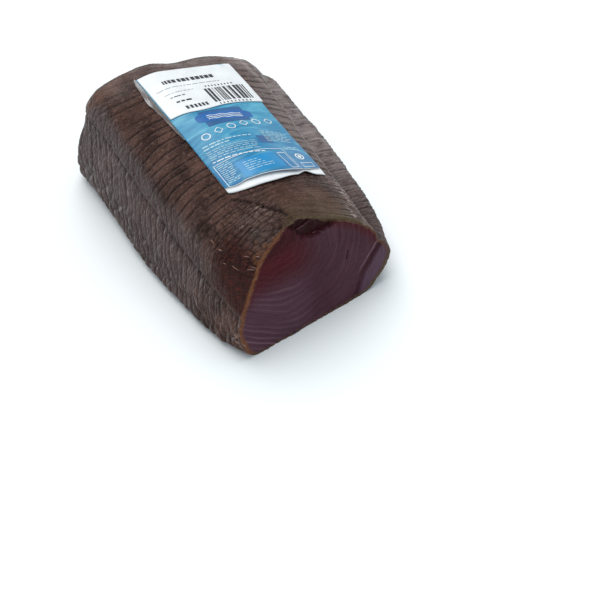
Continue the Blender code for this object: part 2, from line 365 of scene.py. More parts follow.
def skin_material():
    material, tree, shader = new_material("smoked skin", 0.45, 0.15)
    patches = spread(tree, noise(tree, 60.0, 5.0), 0.36, 0.66)
    flecks = spread(tree, chart_noise(tree, "length", "girth", 2.0, 3.0, -0.1), 0.52, 0.70)
    mottle = spread(tree, chart_noise(tree, "length", "girth", 0.9, 1.3, 0.0, 2.0), 0.38, 0.66)
    streaks = spread(tree, chart_noise(tree, "length", "girth", 1.1, 9.0, -0.46, 2.0), 0.50, 0.66)
    fibres = spread(tree, chart_noise(tree, "girth", "length", 0.8, 6.0, 0.25, 2.0), 0.50, 0.66)
    grain = spread(tree, noise(tree, 650.0, 3.0), 0.3, 0.7)
    side = attribute(tree, "side")

    colour = mixed(tree, patches, SKIN_DARK, SKIN_LIGHT)
    colour = mixed(tree, times(tree, flecks, 0.55), colour, SKIN_WARM)
    # The grey of the side and far lobe: partly their own greyer tone, mostly a painted sheen.
    grey = mixed(tree, times(tree, streaks, 0.50), SKIN_GREY, SKIN_STREAK)
    colour = mixed(tree, times(tree, side, 0.78), colour, grey)
    colour = mixed(tree, attribute(tree, "olive"), colour, SKIN_OLIVE)
    red = mixed(tree, fibres, SKIN_RED, SKIN_FIBRE)
    colour = mixed(tree, attribute(tree, "glow"), colour, red)
    colour = mixed(tree, attribute(tree, "amber"), colour, SKIN_AMBER)
    colour = mixed(tree, times(tree, mottle, 0.42), colour, SKIN_DARK)
    colour = mixed(tree, times(tree, grain, 0.25), colour, SKIN_DARK)
    # Painted shade in furrows, creases, the fold's crack and the valley.
    colour = mixed(tree, times(tree, attribute(tree, "groove"), 0.85), colour, SKIN_GROOVE)
    # Painted highlight on relief edges, the ridge and the far lobe.
    colour = mixed(tree, times(tree, attribute(tree, "painted_highlight"), 0.6), colour, SKIN_HIGHLIGHT)
    # Pale specks and crumbs of the skin, and painted glints on the ridge.
    colour = mixed(tree, attribute(tree, "pale"), colour, SKIN_PALE)
    tree.links.new(colour, shader.inputs["Base Color"])

    rough = spread(tree, flecks, 0.0, 1.0, 0.48, 0.34)
    gloss = times(tree, attribute(tree, "glow"), 0.16)
    tree.links.new(math(tree, "SUBTRACT", rough, gloss), shader.inputs["Roughness"])
    ripple = math(tree, "SUBTRACT", chart_noise(tree, "length", "girth", 1.0, 3.0, -0.15), mottle)
    streaked = math(tree, "MULTIPLY_ADD", streaks, times(tree, side, 0.45), ripple)
    height = math(tree, "MULTIPLY_ADD", grain, 0.35, streaked)
    set_bump(tree, shader, height, 0.8, 0.0005)
    return material


FLESH_WINE, FLESH_RED, FLESH_PALE = (0.071, 0.0235, 0.0385), (0.080, 0.0052, 0.0110), (0.240, 0.130, 0.160)
# The deepest flesh colour serves the darker fibres and grain, and painted shade in the hollow, groove and slit.
FLESH_DEEP, FLESH_LAVENDER = (0.021, 0.0014, 0.0024), (0.125, 0.070, 0.105)
RIND_BROWN, RIND_OLIVE = (0.165, 0.062, 0.024), (0.110, 0.076, 0.034)


def flesh_material():
    material, tree, shader = new_material("cut flesh", 0.42, 0.07)
    cloud = spread(tree, noise(tree, 60.0, 4.0), 0.35, 0.65)
    fibre = spread(tree, chart_noise(tree, "ring", "turn", 0.9, 16.0, 0.0, 4.0), 0.40, 0.70)
    grain = spread(tree, noise(tree, 700.0, 3.0), 0.3, 0.7)
    colour = mixed(tree, times(tree, cloud, 0.10), FLESH_WINE, FLESH_PALE)
    colour = mixed(tree, attribute(tree, "red"), colour, FLESH_RED)
    colour = mixed(tree, times(tree, attribute(tree, "muscle"), 0.30), colour, FLESH_DEEP)
    colour = mixed(tree, attribute(tree, "lobe"), colour, FLESH_LAVENDER)
    colour = mixed(tree, times(tree, fibre, 0.24), colour, FLESH_DEEP)
    colour = mixed(tree, times(tree, attribute(tree, "pale"), 0.8), colour, FLESH_PALE)
    # Painted shade in the hollow, the groove beside the muscle line and the slit, and a darker top left.
    colour = mixed(tree, attribute(tree, "deep"), colour, FLESH_DEEP)
    colour = mixed(tree, attribute(tree, "olive"), colour, RIND_OLIVE)
    colour = mixed(tree, attribute(tree, "rind"), colour, RIND_BROWN)
    colour = mixed(tree, times(tree, grain, 0.15), colour, FLESH_DEEP)
    tree.links.new(colour, shader.inputs["Base Color"])
    set_bump(tree, shader, math(tree, "MULTIPLY_ADD", grain, 0.3, fibre), 0.4, 0.0004)
    return material


def strand_material():
    material, tree, shader = new_material("dry strand", 0.35, 0.5)
    tone = spread(tree, noise(tree, 500.0, 2.0), 0.3, 0.7)
    tree.links.new(mixed(tree, tone, (0.28, 0.15, 0.12), (0.13, 0.05, 0.035)), shader.inputs["Base Color"])
    return material


def rings_of_skin():
    """Stations, places and the smooth skin's points: all as grids of ring by place."""
    places = np.concatenate([k + np.arange(count) / count for k, count in enumerate(POINTS_ROUND)])
    straight = np.arange(EVEN_FROM, EVEN_TO, RING_STEP)
    last = end_share(straight[-1])
    shares = last * np.cos(np.linspace(0.0, np.pi / 2, END_RINGS + 2))[1:-1]
    parts = (1.0 - shares**END_SIDE_POWER) ** (1.0 / END_START_POWER)
    stations = np.concatenate([FRONT + np.array(RIM_RINGS), straight, BACK - END_LENGTH + END_LENGTH * parts])
    flat = np.array([section_curve(station, places) for station in stations])
    return stations, places, flat


def girth_of(flat):
    """How far round the section each point lies from the left foot, in millimetres."""
    steps = np.linalg.norm(np.diff(flat, axis=1, prepend=flat[:, -1:]), axis=2)
    steps[:, 0] = 0.0
    return np.cumsum(steps, axis=1)


def fold_relief(length, place, girth, flat):
    """The fold's crack and step, how crumbly the skin is beside it, and how near it each point is."""
    run = along(length, flat[..., 0], flat[..., 1])
    distance, side = line_distance(flat[..., 0], run, FOLD)
    distance = np.where((place > 3.5) & (place < 8.0), distance, 1e3)
    distance = distance + 0.7 * smooth_noise(length / 1.8, girth / 1.8, 64)
    on_slope = side < 0.0
    gape = 0.30 + 0.70 * bump(run, FOLD_GAPES_AT, FOLD_GAPE_REACH)
    crack = gape * ease(1.0 - distance / 1.2)
    step = ease(1.0 - distance / 7.0) * np.where(on_slope, -0.55, 0.30)
    crumbs = ease(1.0 - distance / 9.0) * np.where(on_slope, 0.0, 0.50)
    return crack, step, crumbs, ease(1.6 - distance / 5.0)


def skin_zones(length, place):
    """How much of each kind of skin there is at each point, from 0 to 1."""
    side_from, side_to = np.interp(length, SIDE_AT, SIDE_FROM), np.interp(length, SIDE_AT, SIDE_TO)
    lower = ease((side_from - place + 0.10) / 0.22)
    crest = np.interp(length, CREST_AT, CREST_PLACE)
    lobe = ease((place - crest - 0.10) / 0.25)
    upper = ease((place - side_to + 0.20) / 0.55) * (1.0 - lobe)
    smooth = ease((place - 5.3) / 0.5) * ease((FRONT + 50.0 - length) / 16.0) * ease((8.6 - place) / 1.2)
    front, foot = ease((-20.0 - length) / 45.0), ease((1.5 - place) / 0.5)
    return {
        "lower": lower,
        "foot_lower": lower * foot,
        "foot_front": lower * foot * front,
        "belly": lower * (1.0 - foot),
        "upper": upper,
        "rough": upper * (1.0 - smooth),
        "rough_front": upper * (1.0 - smooth) * front,
        "smooth_upper": upper * smooth,
        "smooth": smooth,
        "lobe": lobe,
        "side": np.clip(1.0 - lower - upper - lobe, 0.0, 1.0),
        "ridge": bump(place, 8.25, 0.9),
        "strip": bump(place, 7.75, 0.75) * (1.0 - lobe),
        "crest": bump(place, crest, 0.11),
        "valley": bump(place, 9.12, 0.30) * (0.25 + 0.75 * ease((5.0 - length) / 40.0)),
        "crease": np.abs(place - side_from),
    }


def net_relief(length, girth, zone):
    """The net's marks and the wrinkles between them: their depth in millimetres, their painted shade, and tones."""
    from_net = length - NET_FIRST + NET_SLANT * (np.clip(girth, 50.0, 125.0) - 95.0)
    half_pitch = 0.5 * NET_PITCH
    net = furrows(from_net, girth, NET_PITCH, NET_HALF_WIDTH, 1.2, 11, 0.88)
    border, tone = cells(from_net / NET_PITCH + 0.5, girth / 5.4, 61)
    scales = cells((length - 0.25 * girth) / 5.8, (girth + 0.2 * length) / 13.0, 63, 0.42)[0]
    mark = {
        "net": net * (0.55 + 0.45 * ease((75.0 - length) / 45.0)),
        "fine_net": furrows(from_net - half_pitch, girth, half_pitch, 0.75, 0.7, 15, 0.55),
        "wrinkles": furrows(length - 0.2 * girth, girth, 2.2, 0.6, 1.2, 17, 0.3, sharp=False),
        "ribs": furrows(length - 0.28 * girth, girth, 5.6, 1.4, 1.6, 47, 0.75),
        "hatch": furrows(length - 0.46 * girth, girth, 2.8, 0.85, 1.1, 41, 0.55),
        "cross_hatch": furrows(length + 0.30 * girth, girth, 6.2, 1.1, 1.8, 51, 0.6),
        "lengthwise": furrows(girth + 0.10 * length, length, 3.8, 0.8, 1.8, 56, 0.30),
        "crackle": (1.0 - border) ** 3,
        "lobes": (1.0 - scales) ** 2,
        "lobe_lines": (1.0 - scales) ** 4,
    }
    depth = sum(deep * zone[where] * mark[kind] for where, kind, deep, _ in MARKS)
    dark = sum(shade * zone[where] * mark[kind] for where, kind, _, shade in MARKS)
    return depth, dark, tone


def skin_relief(length, place, girth, flat, zone):
    """How far each point of the skin is pushed in, in millimetres, its painted shade, and its cell's tone."""
    furrow, dark, tone = net_relief(length, girth, zone)
    crack, step, crumbs, near_fold = fold_relief(length, place, girth, flat)
    tone = np.maximum(tone, 0.9 * near_fold)

    crease = 0.55 * bump(zone["crease"], 0.0, 0.035) * (place < 4.0)
    crease = crease + 0.8 * bump(zone["crease"], 0.0, 0.22) * (place < 4.0)
    second = 0.4 * bump(place, np.interp(length, SIDE_AT, SIDE_FROM) + 0.3, 0.05) * ease((length + 20.0) / 50.0)
    right = 1.7 * bump(place, 9.0, 0.15)

    corner = ease((FRONT + 14.0 - length) / 10.0) * bump(place, 1.2, 0.9)
    lumps = 0.55 * smooth_noise(length / 17.0, girth / 19.0, 71)
    lumps = lumps + 0.28 * smooth_noise(length / 5.0, girth / 6.0, 72)
    rough = 0.17 * smooth_noise(length / 0.9, girth / 1.3, 73)
    rough = rough + 0.14 * smooth_noise(length / 2.0, girth / 2.2, 76)
    rough = rough * (1.0 - 0.7 * zone["smooth"]) + crumbs * smooth_noise(length / 1.4, girth / 1.8, 74)
    rough = rough + 0.8 * corner * smooth_noise(length / 1.7, girth / 2.3, 77)
    clear = ease(flat[..., 1] / RELIEF_CLEAR_OF_FLOOR)
    rim = 0.4 + 0.6 * ease((length - FRONT) / 3.5)
    crest = -0.5 * zone["crest"] * (0.8 + 0.2 * smooth_noise(length / 9.0, girth * 0.0, 66))
    crest = crest + 0.6 * zone["valley"]
    depth = (furrow * rim + crease + second + right + lumps + rough + 1.1 * crack + step + crest) * clear
    # The valley, the creases and the fold's crack darken the skin: painted shade, added to that of the furrows.
    dark = dark + 0.8 * zone["valley"] + 0.7 * np.clip(crease + second - 0.3, 0.0, 1.0) + 1.4 * crack
    dark = np.clip(dark, 0.0, 1.0) * clear
    return depth, dark, tone


def skin_marks(length, place, girth, depth, dark, tone, zone):
    """Where the skin's colours change, each from 0 to 1, with painted sheen, highlights and shade among them."""
    from_cut = length - FRONT
    blotch = smooth_noise(length / 3.5, girth / 4.0, 79)
    # side: the greyer skin of the side and far lobe, with a painted sheen of the pale surroundings, stronger towards
    # the back.
    near = 0.45 + 0.65 * ease((length + 70.0) / 110.0)
    side = 0.9 * (near * zone["side"] + zone["lower"] * ease((length + 90.0) / 70.0)) + 0.85 * zone["lobe"]
    glow = ease((place - 2.05) / 0.3) * ease((4.5 - place) / 0.8) * ease((46.0 - from_cut + 8.0 * blotch) / 22.0)
    near_rim = ease((1.7 - from_cut + 0.3 * blotch) / 1.2)
    toward_back = ease((length + 70.0) / 80.0)
    olive = zone["smooth"] * 0.5 * ease((34.0 - from_cut) / 30.0)
    gold = bump(place, 7.7, 1.3) * ease((8.0 + 3.0 * blotch - from_cut) / 5.0)
    reach = np.interp(place, AMBER_AT, AMBER_REACH)
    amber = ease((reach * (1.0 + 0.9 * blotch) - from_cut) / 3.0)
    amber = np.maximum(amber * (0.6 + 0.4 * smooth_noise(length / 1.2, girth / 1.4, 75)), near_rim)
    amber = amber * ease((5.7 - place) / 0.6) * ease(place / 0.5)
    rust = bump(place, 3.2, 1.3) * ease((length - 60.0) / 18.0) * (0.20 + 0.25 * blotch)
    speck = ease((smooth_noise(length / 0.9, girth / 1.1, 78) - 0.30) / 0.3)
    fleck = ease((tone - 0.68) / 0.1) * (1.0 - dark) * ease((-50.0 - length) / 14.0) * bump(place, 4.7, 1.1)
    # Painted highlights: glints along the ridge's ribs near the cut and on its crest.
    rib = ease((smooth_noise(length / 0.9, girth / 5.0, 67) - 0.20) / 0.3)
    front_ridge = zone["strip"] * ease((place - 7.6) / 0.3) * ease((-38.0 - length) / 20.0)
    glint = rib * 0.95 * front_ridge + 0.35 * zone["crest"] * (0.6 + 0.4 * rib)
    crumb = ease((smooth_noise(length / 1.1, girth / 1.3, 80) - 0.15) / 0.3) * bump(place, 1.3, 0.7)
    crumb = crumb * ease((FRONT + 11.0 - length) / 6.0)
    # Painted highlight: paler where the relief's slopes face the back, along the ridge, its strip and crest, on the
    # far lobe, over the top near the back, and on the upper skin near the cut.
    painted_highlight = np.clip(np.gradient(depth, axis=0) / np.gradient(length, axis=0) / 0.6, 0.0, 1.0)
    painted_highlight = painted_highlight * (zone["lower"] + 0.7 * zone["side"] + 0.4 * zone["lobe"] + 0.12 * zone["upper"])
    painted_highlight = np.clip(painted_highlight * (0.8 + 0.5 * blotch), 0.0, 1.0)
    painted_highlight = painted_highlight + 0.55 * np.maximum(0.8 * zone["ridge"], zone["strip"]) * (0.25 + 0.75 * toward_back)
    broad = 0.85 + 0.4 * smooth_noise(length / 9.0, girth / 5.0, 97)
    # A painted sheen on the far lobe, stronger towards the back.
    lobe_sheen = (broad + 0.50 * smooth_noise(length / 2.4, girth / 4.2, 95)) * ease((length + 72.0) / 104.0)
    painted_highlight = painted_highlight + zone["lobe"] * 0.78 * np.clip(lobe_sheen, 0.0, 1.6) + 0.30 * zone["crest"]
    painted_highlight = painted_highlight + 0.50 * ease((length - 52.0) / 18.0) * bump(place, 6.2, 3.2) * broad
    bare = (1.0 - dark) * (1.0 - amber)
    painted_highlight = painted_highlight + 0.15 * ease((-48.0 - length) / 16.0) * bump(place, 4.6, 0.9) * broad * bare
    return {
        # Painted shade in furrows, creases and cracks, none at the cut's rim.
        "groove": dark * (1.0 - near_rim),
        "side": np.clip(side, 0.0, 1.0),
        "glow": np.clip(glow, 0.0, 0.92),
        "olive": np.clip(olive + 0.65 * gold + 0.3 * near_rim * (place > 5.7), 0.0, 0.85),
        "amber": np.clip(0.85 * amber + rust + crumb, 0.0, 0.85),
        # The skin's own pale specks and crumbs, and painted glints.
        "pale": np.clip(0.45 * speck * fleck + glint + 0.25 * crumb, 0.0, 0.8),
        "painted_highlight": np.clip(painted_highlight, 0.0, 1.0) * (1.0 - 0.9 * glow) * (1.0 - near_rim),
        "length": length,
        "girth": girth,
    }


# The rounded end's marks: some painted grey sheen and painted highlight, and a little amber.
END_MARKS = {"side": 0.50, "painted_highlight": 0.10, "amber": 0.12}


def end_relief(across, up):
    """The wrinkles of the rounded end: how deep, in millimetres, and how dark with painted shade."""
    lumps = 0.4 + 0.4 * smooth_noise(across / 14.0, up / 12.0, 33) + 0.2 * smooth_noise(across / 5.0, up / 4.0, 34)
    border = cells((across + 0.2 * up) / 7.5, (up - 0.3 * across) / 6.0, 35)[0]
    wrinkle = (1.0 - border) ** 3
    return lumps + 0.4 * wrinkle + 0.10 * smooth_noise(across / 3.0, up / 2.4, 36), 0.35 * wrinkle


def skin_piece(name, points, marks, first, last, material):
    """The stretch of the skin between two columns of its grid, closed at the rounded end by a fan."""
    rings, around = points.shape[:2]
    columns = np.arange(first, last + 1) % around
    part, wide = points[:, columns], last + 1 - first
    faces = grid_faces(rings, wide)
    tip, row = rings * wide, (rings - 1) * wide
    faces += [(row + j, row + j + 1, tip) for j in range(wide - 1)]
    part_marks = {key: np.append(values[:, columns].ravel(), values[-1, 0]) for key, values in marks.items()}
    all_points = np.vstack([part.reshape(-1, 3), points[-1].mean(axis=0)])
    return make_object(name, all_points, faces, material, part_marks)


def outward_of(flat):
    run = np.roll(flat, -1, axis=1) - np.roll(flat, 1, axis=1)
    return np.stack([-run[..., 1], run[..., 0]], -1) / np.linalg.norm(run, axis=2)[..., None]


def build_skin(material):
    """The skin in two pieces. Returns them, and the rim that the cut face starts from."""
    stations, places, smooth = rings_of_skin()
    girth = girth_of(smooth)
    length, place = np.broadcast_to(stations[:, None], girth.shape), np.broadcast_to(places[None], girth.shape)
    zone = skin_zones(length, place)
    depth, dark, tone = skin_relief(length, place, girth, smooth, zone)
    share = end_share(stations)[:, None]
    end = np.broadcast_to(ease((0.99 - share) / 0.24), girth.shape)
    core = END_CORE + (smooth - END_CORE) * share[..., None]
    end_depth, end_dark = end_relief(core[..., 0], core[..., 1])
    depth, dark = depth * (1.0 - end), dark * (1.0 - end) + end_dark * end
    to_rim = np.clip(1.0 - (length - FRONT) / RIM_ROUND, 0.0, 1.0)
    rounding = RIM_ROUND * (1.0 - np.sqrt(1.0 - to_rim**2)) * ease(smooth[..., 1] / RELIEF_CLEAR_OF_FLOOR)
    flat = smooth - outward_of(smooth) * (depth + rounding)[..., None]
    flat = END_CORE + (flat - END_CORE) * share[..., None]
    flat[..., 1] = np.maximum(flat[..., 1], 0.0)
    ragged = RIM_RAGGED * smooth_noise(girth / 1.9, length * 0.0, 62) * ease(1.0 - (length - FRONT) / 2.5)
    ragged = ragged - end * end_depth
    points = np.stack([flat[..., 0], along(length, flat[..., 0], flat[..., 1]) + ragged, flat[..., 1]], -1)
    marks = skin_marks(length, place, girth, depth, dark, tone, zone)
    for key in ("side", "glow", "olive", "amber", "pale", "painted_highlight"):
        marks[key] = marks[key] * (1.0 - end) + end * END_MARKS.get(key, 0.0)
    marks["end"] = end
    seam = sum(POINTS_ROUND[:SEAM_PLACE])
    upper = skin_piece("loin_skin", points, marks, 0, seam, material)
    under = skin_piece("loin_underskin", points, marks, seam, len(places), material)
    return upper, under, points[0], places


STRAND_POINTS, STRAND_SIDES = 9, 6
STRAND_RADIUS, STRAND_STAND, STRAND_BEND = 0.36, -0.15, 0.008


def tube(path, radius, sides):
    """A closed tube along a path, thin at both ends. Returns its points and faces."""
    run = np.gradient(path, axis=0)
    run /= np.linalg.norm(run, axis=1)[:, None]
    beside = np.cross(run, (0.0, 0.0, 1.0))
    beside /= np.linalg.norm(beside, axis=1)[:, None]
    above = np.cross(beside, run)
    angle = 2.0 * np.pi * np.arange(sides) / sides
    share = np.linspace(0.0, 1.0, len(path))
    width = radius * (0.25 + 0.75 * np.sin(np.pi * share) ** 0.6)
    ring = np.cos(angle)[:, None, None] * beside + np.sin(angle)[:, None, None] * above
    points = (path + ring * width[:, None]).transpose(1, 0, 2).reshape(-1, 3)
    last = (len(path) - 1) * sides
    here = np.arange(last)
    after = here - here % sides + (here + 1) % sides
    faces = np.stack([here, after, after + sides, here + sides], -1).tolist()
    return points, faces + [list(reversed(range(sides))), list(range(last, last + sides))]


def build_strands():
    """Short dry strands of flesh that lie on the skin."""
    points, faces, start = [], [], 0
    for k, (station_0, place_0, station_1, place_1) in enumerate(STRANDS):
        share = np.linspace(0.0, 1.0, STRAND_POINTS)
        stations = station_0 + (station_1 - station_0) * share
        bend = STRAND_BEND * np.sin(np.pi * share) * (1.0 if k % 2 else -1.0)
        places = place_0 + (place_1 - place_0) * share + bend
        path = []
        for station, place in zip(stations, places):
            flat = section_curve(station, np.array([place - 0.01, place, place + 0.01]))
            run = flat[2] - flat[0]
            outward = np.array([-run[1], run[0]]) / np.linalg.norm(run)
            across, up = flat[1] + outward * STRAND_STAND
            path.append((across, along(station, across, up), up))
        tube_points, tube_faces = tube(np.array(path), STRAND_RADIUS, STRAND_SIDES)
        points.append(tube_points)
        faces += [tuple(start + index for index in face) for face in tube_faces]
        start += len(tube_points)
    return make_object("dry_strands", np.concatenate(points), faces, strand_material())


# The cut face, in millimetres (across, up). Its grid; the layers of muscle, which are drawn-out rings round one
# point; the line that parts off the smaller muscle at the lower right; and the hollow under the skin's edge.
CUT_ROWS, CUT_COLUMNS = 236, 330
RING_CENTRE, RING_PITCH = np.array((-33.8, 87.2)), 3.4
RING_AXES = np.array(((0.81, -0.13), (0.47, 0.75)))
MUSCLE_LINE = ((19.5, 1.0), (24.5, 11.5), (29.8, 20.0), (35.6, 25.8), (41.5, 31.4), (48.6, 39.2), (53.5, 44.0))
HOLLOW_LEFT = ((-17.0, 86.0), (-13.0, 75.0), (-8.5, 68.0), (0.0, 63.0))
HOLLOW_RIGHT = ((6.0, 64.0), (12.0, 64.0), (20.0, 65.0), (14.0, 84.0))
HOLLOW = (*HOLLOW_LEFT, *HOLLOW_RIGHT)
HOLLOW_STRANDS = (
    ((-9.6, 74.4), (-6.0, 74.9), (-1.5, 75.4), (3.0, 76.4)),
    ((1.0, 65.9), (4.5, 64.8), (8.0, 63.4)),
)
SLIT = ((22.9, 38.9), (21.3, 33.5))
BRIGHT_RINGS = (20.0, 23.0)
RIND_AT = (0.0, 0.4, 1.3, 3.0, 4.4, 5.1, 5.5, 6.5, 6.9, 8.0, 8.4, 9.6, 10.6, 13.0)
RIND_WIDTH = (2.0, 2.4, 1.9, 1.3, 1.6, 1.5, 0.6, 0.6, 3.4, 2.0, 1.4, 2.0, 2.2, 2.0)


def line_distance(across, up, line):
    """Distance from an open line, and the signed side of it: positive on its right as it runs."""
    nearest, side = np.full(across.shape, 1e3), np.zeros(across.shape)
    for (x0, z0), (x1, z1) in zip(line[:-1], line[1:]):
        run_x, run_z = x1 - x0, z1 - z0
        share = np.clip(((across - x0) * run_x + (up - z0) * run_z) / (run_x**2 + run_z**2), 0.0, 1.0)
        off_x, off_z = across - x0 - share * run_x, up - z0 - share * run_z
        distance = np.hypot(off_x, off_z)
        closer = distance < nearest
        side = np.where(closer, np.sign(run_z * off_x - run_x * off_z), side)
        nearest = np.minimum(nearest, distance)
    return nearest, side


def inside(across, up, outline):
    """Signed distance from a closed outline, positive inside it."""
    nearest, _ = line_distance(across, up, (*outline, outline[0]))
    crossings = np.zeros(across.shape, int)
    for (x0, z0), (x1, z1) in zip(outline, (*outline[1:], outline[0])):
        spans = (z0 > up) != (z1 > up)
        crossings += spans & (across < (x1 - x0) * (up - z0) / (z1 - z0 + 1e-9) + x0)
    return np.where(crossings % 2 == 1, nearest, -nearest)


def rim_chain(rim, indices, heights):
    """Points of one side of the rim, from its foot to its top, at the given heights."""
    chain = rim[indices]
    rising = np.maximum.accumulate(chain[:, 2] + np.arange(len(chain)) * 1e-6)
    return [np.interp(heights, rising, chain[:, k]) for k in (0, 1)]


def cut_grid(rim, places):
    """The cut face as rows from side to side. Returns its grid of points, and how far in from the rim each is."""
    top = int(np.argmax(rim[:, 2]))
    foot_right = int(np.searchsorted(places, FOOT_RIGHT_PLACE))
    heights = rim[top, 2] * np.linspace(0.0, 1.0, CUT_ROWS) ** 0.96
    left_x, left_y = rim_chain(rim, np.arange(top + 1), heights)
    right_x, right_y = rim_chain(rim, np.arange(foot_right, top - 1, -1), heights)
    share = np.linspace(0.0, 1.0, CUT_COLUMNS)[None]
    across = left_x[:, None] * (1.0 - share) + right_x[:, None] * share
    up = np.broadcast_to(heights[:, None], across.shape)
    plane = FRONT + CUT_LEAN * up
    to_left, to_right = across - left_x[:, None], right_x[:, None] - across
    edge = (left_y[:, None] - plane) * ease(1.0 - to_left / 1.5)
    edge = edge + (right_y[:, None] - plane) * ease(1.0 - to_right / 1.5)
    inward, place = np.empty(across.shape), np.empty(across.shape)
    for i in range(CUT_ROWS):
        squared = (across[i][:, None] - rim[None, :, 0]) ** 2 + (up[i][:, None] - rim[None, :, 2]) ** 2
        inward[i], place[i] = np.sqrt(squared.min(axis=1)), places[squared.argmin(axis=1)]
    return across, up, plane + edge, inward, place


def cut_layers(across, up):
    """Each point's ring and its way along it, both in millimetres, and how strongly the layers' seams show."""
    from_centre = np.stack([across, up], -1) - RING_CENTRE
    spread_out = from_centre @ RING_AXES.T
    ring = np.hypot(spread_out[..., 0], spread_out[..., 1])
    angle = np.arctan2(spread_out[..., 0], -spread_out[..., 1])
    ring = ring + 2.0 * smooth_noise(ring / 18.0, angle * 3.0, 81) + 0.6 * smooth_noise(ring / 4.0, angle * 7.0, 82)
    layer = np.round(ring / RING_PITCH)
    seam = ease(1.0 - np.abs(ring / RING_PITCH - layer) / 0.30)
    shown = np.clip(0.35 + 0.55 * smooth_noise(layer * 1.9, angle * 2.4, 83), 0.0, 1.0)
    muscle = 0.5 + 0.5 * smooth_noise(layer * 2.3 + 0.5, angle * 1.6, 84)
    return ring, angle * 45.0, seam * shown, muscle


def build_cut(rim, places, material):
    """The cut face: a rind, layers of muscle, the smaller muscle at the right and a hollow under the skin."""
    across, up, back, inward, place = cut_grid(rim, places)
    ring, turn, seam, muscle = cut_layers(across, up)
    wander = 0.5 * smooth_noise(across / 5.0, up / 5.0, 86) + 0.3 * smooth_noise(across / 1.6, up / 1.6, 87)
    line, line_side = line_distance(across, up, MUSCLE_LINE)
    beyond = line * line_side + 0.6 * wander
    lobe = ease((beyond - 3.8) / 4.0)
    hollow = ease((inside(across, up, HOLLOW) + 1.6 * wander + 0.6) / 2.6)
    strand = np.minimum(*[line_distance(across, up, line)[0] for line in HOLLOW_STRANDS]) + 0.35 * wander
    slit, _ = line_distance(across, up, SLIT)

    low_left = ease((4.0 - across) / 30.0) * ease((52.0 - up) / 22.0)
    right = ease((across - 5.0) / 22.0) * ease((up - 12.0) / 20.0)
    pale = seam * (0.10 + 0.40 * low_left + 0.10 * right) * (1.0 - lobe)
    bright = sum(bump(ring / RING_PITCH, at, 0.2) for at in BRIGHT_RINGS)
    pale = np.maximum(pale, np.clip(bright, 0.0, 1.0) * ease((-26.0 - across) / 12.0))
    pale = np.maximum(pale, bump(beyond, 0.0, 0.9) * ease((up - 14.0) / 12.0))
    pale = np.maximum(pale, 0.8 * bump(strand, 0.0, 0.55))
    ragged = 0.40 * smooth_noise(across / 3.0, up / 3.0, 88) + 0.20 * smooth_noise(across, up, 89)
    width = np.interp(place, RIND_AT, RIND_WIDTH) * (1.0 + ragged * np.where(place > 10.6, 0.3, 1.0))
    rind = ease((width - inward) / 0.9) * (0.85 + 0.25 * smooth_noise(across / 1.2, up / 1.2, 96))
    brown = ease((5.6 - place) / 0.5) * ease(place / 0.4) + bump(place, 8.9, 1.2)
    band = bump(beyond, 3.6, 4.4) * (0.75 + 0.35 * smooth_noise(across / 4.0, up / 4.0, 98))
    edge = ease((8.0 - inward) / 6.0) * ease((up - 30.0) / 12.0)
    streak = 0.5 + 0.5 * smooth_noise((across + 0.5 * up) / 1.2, (up - 0.5 * across) / 6.0, 99)
    red = np.maximum(ease((up - 30.0) / 26.0) * ease((8.0 - across) / 26.0), 0.85 * edge)
    # Painted shade: the hollow under the skin, the groove beside the muscle line and the slit are darkened, less on
    # the hollow's strands, and the top left of the cut darkens in streaks.
    dusk = ease((up - 58.0) / 14.0) * ease((4.0 - across) / 16.0) * (0.26 + 0.52 * streak)
    red = np.maximum(red, hollow)
    deep = np.maximum(hollow * (0.75 + 0.4 * streak), 0.62 * band)
    deep = np.maximum(np.maximum(deep, dusk), 0.9 * bump(slit, 0.0, 0.7)) * (1.0 - 0.9 * bump(strand, 0.0, 0.55))

    depth = 0.5 * ease((inward - 0.6) / 1.6) - 0.25 * pale * (1.0 - hollow) - 0.16 * muscle * (1.0 - lobe)
    depth = depth + hollow * ease(inward / 1.4) * (2.0 + 0.9 * wander) - 1.2 * bump(strand, 0.0, 1.0)
    depth = depth + 0.9 * bump(beyond, 3.6, 3.0) * ease(inward / 3.0) + 0.9 * bump(slit, 0.0, 0.9)
    depth = depth + 0.12 * smooth_noise(across / 1.5, up / 1.5, 85)
    points = np.stack([across, back + depth * ease(inward / 0.5), up], -1)
    marks = {
        "ring": ring,
        "turn": turn,
        "muscle": muscle,
        "pale": pale,
        "lobe": np.maximum(0.85 * lobe, 0.24 * low_left),
        # Painted shade in the hollow, groove and slit, and the darker top left.
        "deep": np.clip(deep, 0.0, 1.0) * (1.0 - rind),
        "red": red,
        "rind": 0.9 * rind * np.clip(brown, 0.0, 1.0),
        "olive": 0.9 * rind * (1.0 - np.clip(brown, 0.0, 1.0)),
    }
    return make_object("loin_cut", points.reshape(-1, 3), grid_faces(CUT_ROWS, CUT_COLUMNS), material, marks)


def stretched(points):
    """The upper hull of a row of points: how a sheet pulled tight spans their hollows."""
    hull = []
    for point in points:
        while len(hull) > 1:
            last, step = hull[-1] - hull[-2], point - hull[-1]
            if last[0] * step[1] - last[1] * step[0] < 0.0:
                break
            hull.pop()
        hull.append(point)
    return np.array(hull)


